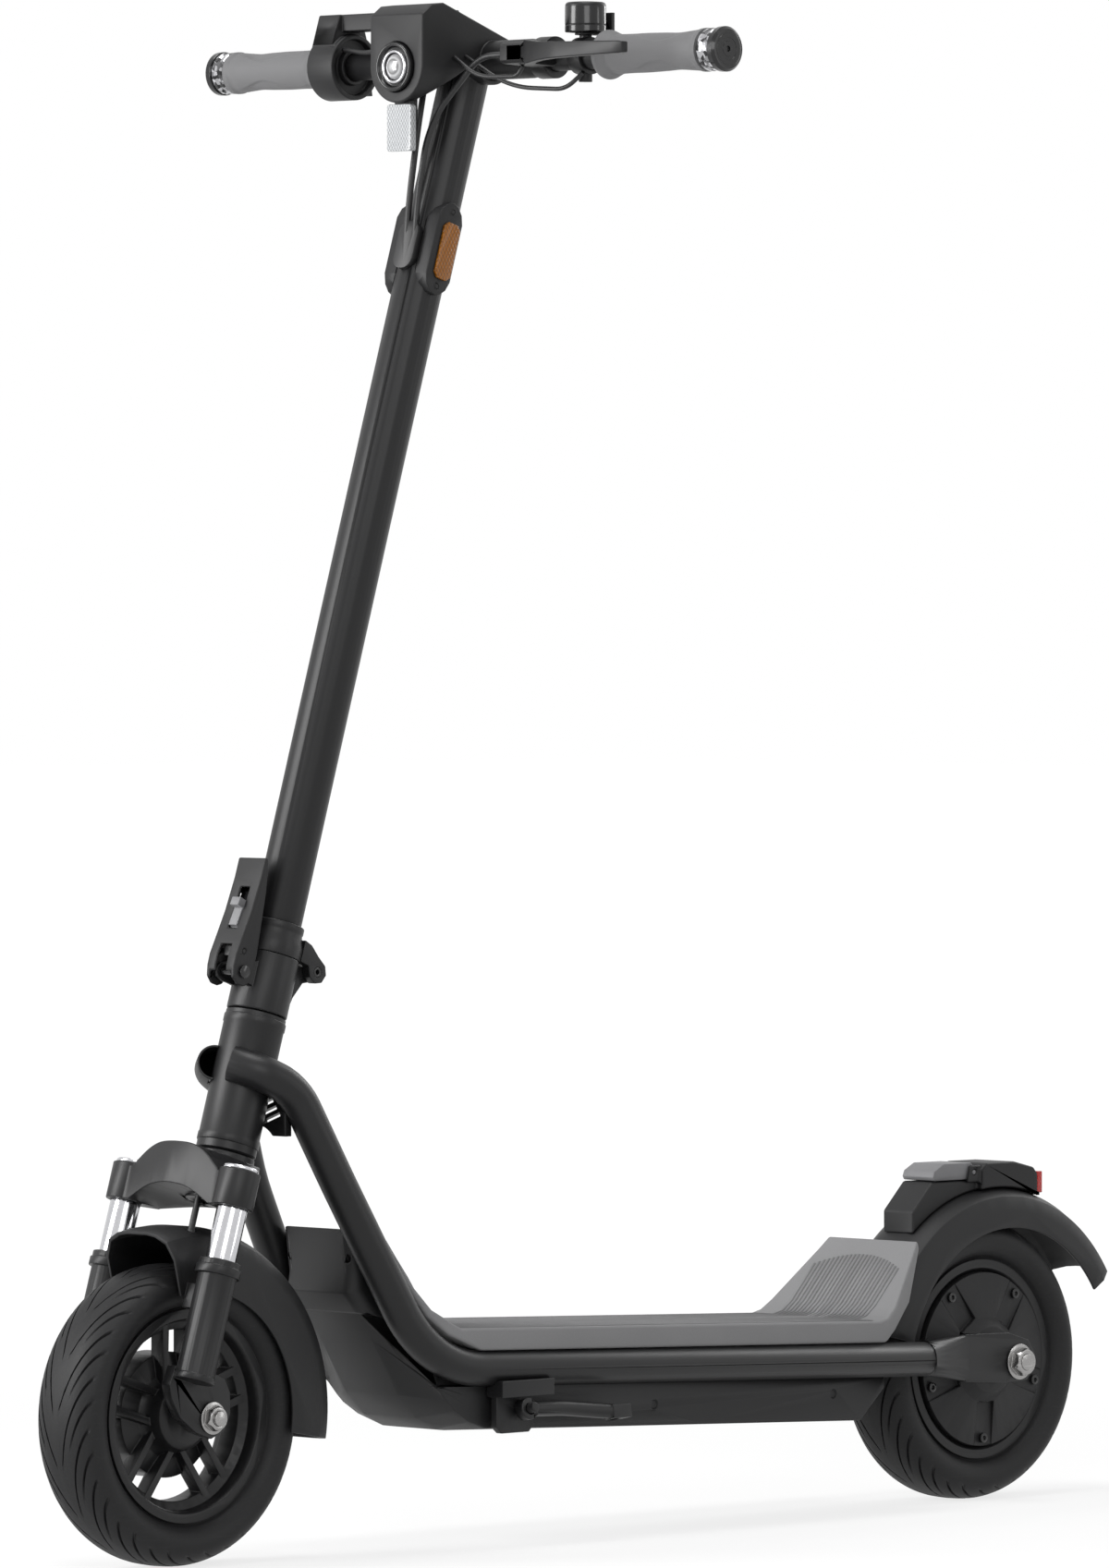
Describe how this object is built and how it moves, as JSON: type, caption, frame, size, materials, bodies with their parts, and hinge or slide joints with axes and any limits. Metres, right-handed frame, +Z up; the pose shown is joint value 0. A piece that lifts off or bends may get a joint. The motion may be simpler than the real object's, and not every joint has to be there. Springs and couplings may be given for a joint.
{
  "type": "electric kick scooter",
  "caption": "Electric kick scooter with folding stem, sprung front fork, twin-tube frame, hub-motor rear wheel and front drum brake.",
  "frame": {"origin": "on the ground plane, under the middle of the overall length and width", "axes": "+X forward (towards the front wheel), +Y to the rider's left, +Z up"},
  "size_m": [1.1968, 0.5906, 1.2465],
  "materials": {
    "tyre_rubber": "matte",
    "satin_black_metal": "satin",
    "black_plastic": "matte",
    "grey_rubber": "matte",
    "deck_aluminium": "satin",
    "chrome": "polished",
    "bright_steel": "satin",
    "stator_iron": "matte",
    "cell_pack": "matte",
    "amber_plastic": "gloss",
    "clear_plastic": "gloss",
    "red_plastic": "gloss",
    "gloss_black": "gloss",
    "light_grey_plastic": "satin",
    "cable_jacket": "satin"
  },
  "bodies": {
    "frame": {"head_tube": "satin_black_metal", "left_side_tube": "satin_black_metal", "right_side_tube": "satin_black_metal", "head_gusset": "satin_black_metal", "deck_board": "deck_aluminium", "battery_case": "black_plastic", "battery_pack": "cell_pack", "deck_mat": "grey_rubber", "rear_fender": "black_plastic", "tail_housing": "black_plastic", "tail_light_lens": "red_plastic", "rear_axle": "bright_steel", "motor_stator": "stator_iron", "rear_axle_nuts": "bright_steel", "kickstand_bracket": "satin_black_metal", "headset_bearings": "bright_steel"},
    "port_cover": {"charge_port_cover": "black_plastic"},
    "rear_latch": {"rear_latch_lever": "light_grey_plastic"},
    "kickstand": {"kickstand_leg": "satin_black_metal"},
    "rear_wheel": {"rear_tyre": "tyre_rubber", "motor_shell": "satin_black_metal", "motor_cover": "satin_black_metal", "motor_cover_screws": "bright_steel"},
    "steerer": {"fork_crown": "satin_black_metal", "fork_stanchions": "chrome", "fold_base": "satin_black_metal", "fold_pins": "bright_steel"},
    "fork_lower": {"left_fork_leg": "satin_black_metal", "right_fork_leg": "satin_black_metal", "fork_springs": "bright_steel", "front_axle": "bright_steel", "front_axle_nuts": "bright_steel", "front_fender": "black_plastic", "brake_backing_plate": "bright_steel", "fork_brake_cable": "cable_jacket"},
    "drum_brake_arm": {"brake_arm": "bright_steel"},
    "front_wheel": {"front_tyre": "tyre_rubber", "front_rim": "satin_black_metal"},
    "stem": {"stem_tube": "satin_black_metal", "stem_collar": "satin_black_metal", "handlebar": "satin_black_metal", "grips": "grey_rubber", "bar_end_caps": "black_plastic", "display_housing": "black_plastic", "display_window": "gloss_black", "headlight_lens": "clear_plastic", "front_reflector": "clear_plastic", "side_reflectors": "amber_plastic", "reflector_pods": "black_plastic", "bell_body": "gloss_black", "lever_bracket": "satin_black_metal", "throttle_housing": "black_plastic", "control_cables": "cable_jacket"},
    "hand_lever": {"brake_lever": "satin_black_metal"},
    "bell_thumb": {"bell_lever": "satin_black_metal"},
    "throttle": {"throttle_paddle": "black_plastic"},
    "button": {"mode_button": "gloss_black"},
    "latch": {"latch_lever": "satin_black_metal"},
    "hook": {"latch_hook": "bright_steel"},
    "slider": {"latch_slider": "light_grey_plastic"}
  },
  "joints": [
    {"name": "steering", "type": "hinge", "parent": "frame", "child": "steerer", "pos_m": [0.3964, 0, 0.38769], "axis": [-0.2932, 0, 0.956], "range_deg": [-45, 45]},
    {"name": "fork_travel", "type": "slide", "parent": "steerer", "child": "fork_lower", "axis": [-0.2932, 0, 0.956], "range_m": [0, 0.022], "stiffness_N_per_m": 8000, "springref_m": -0.025, "deforming": ["fork_springs"]},
    {"name": "front_wheel_spin", "type": "hinge", "parent": "fork_lower", "child": "front_wheel", "pos_m": [0.4785, 0, 0.12], "axis": [0, 1, 0], "continuous": true},
    {"name": "drum_brake_arm_turn", "type": "hinge", "parent": "fork_lower", "child": "drum_brake_arm", "pos_m": [0.4785, -0.033, 0.09], "axis": [0, 1, 0], "range_deg": [0, 20]},
    {"name": "stem_fold", "type": "hinge", "parent": "steerer", "child": "stem", "pos_m": [0.33222, 0, 0.46738], "axis": [0, -1, 0], "range_deg": [0, 87]},
    {"name": "latch_lever_open", "type": "hinge", "parent": "steerer", "child": "latch", "pos_m": [0.41103, 0, 0.46958], "axis": [0, 1, 0], "range_deg": [0, 85]},
    {"name": "latch_hook_swing", "type": "hinge", "parent": "latch", "child": "hook", "pos_m": [0.40969, 0, 0.48591], "axis": [0, 1, 0], "range_deg": [0, 6], "stiffness_Nm_per_rad": 0.05, "springref_deg": -11.46},
    {"name": "latch_slider_move", "type": "slide", "parent": "latch", "child": "slider", "axis": [-0.4406, 0, 0.8977], "range_m": [0, 0.008]},
    {"name": "brake_lever_pull", "type": "hinge", "parent": "stem", "child": "hand_lever", "pos_m": [0.1885, 0.106, 1.204], "axis": [0, 0, 1], "range_deg": [0, 13], "stiffness_Nm_per_rad": 0.8, "springref_deg": -11.46},
    {"name": "bell_lever_press", "type": "hinge", "parent": "stem", "child": "bell_thumb", "pos_m": [0.14668, 0.135, 1.2195], "axis": [0, 0, 1], "range_deg": [0, 12], "stiffness_Nm_per_rad": 0.05, "springref_deg": -5.73},
    {"name": "throttle_press", "type": "hinge", "parent": "stem", "child": "throttle", "pos_m": [0.1255, -0.15, 1.199], "axis": [0, -1, 0], "range_deg": [0, 22], "stiffness_Nm_per_rad": 0.1, "springref_deg": -8.59},
    {"name": "mode_button_press", "type": "slide", "parent": "stem", "child": "button", "axis": [0.3443, 0, -0.9389], "range_m": [0, 0.0012], "stiffness_N_per_m": 800, "springref_m": -0.001},
    {"name": "rear_wheel_spin", "type": "hinge", "parent": "frame", "child": "rear_wheel", "pos_m": [-0.4395, 0, 0.12], "axis": [0, 1, 0], "continuous": true},
    {"name": "kickstand_swing", "type": "hinge", "parent": "frame", "child": "kickstand", "pos_m": [0.1625, 0.084, 0.112], "axis": [0, -0.9781, -0.2079], "range_deg": [0, 95]},
    {"name": "rear_latch_lift", "type": "hinge", "parent": "frame", "child": "rear_latch", "pos_m": [-0.4355, 0, 0.279], "axis": [0, -1, 0], "range_deg": [0, 18], "stiffness_Nm_per_rad": 0.5, "springref_deg": -11.46},
    {"name": "port_cover_open", "type": "hinge", "parent": "frame", "child": "port_cover", "pos_m": [0.1285, -0.0676, 0.121], "axis": [-1, 0, 0], "range_deg": [0, 110]}
  ],
  "couplings": [
    {"joint": "drum_brake_arm_turn", "follows": "brake_lever_pull", "ratio": 1.5}
  ]
}
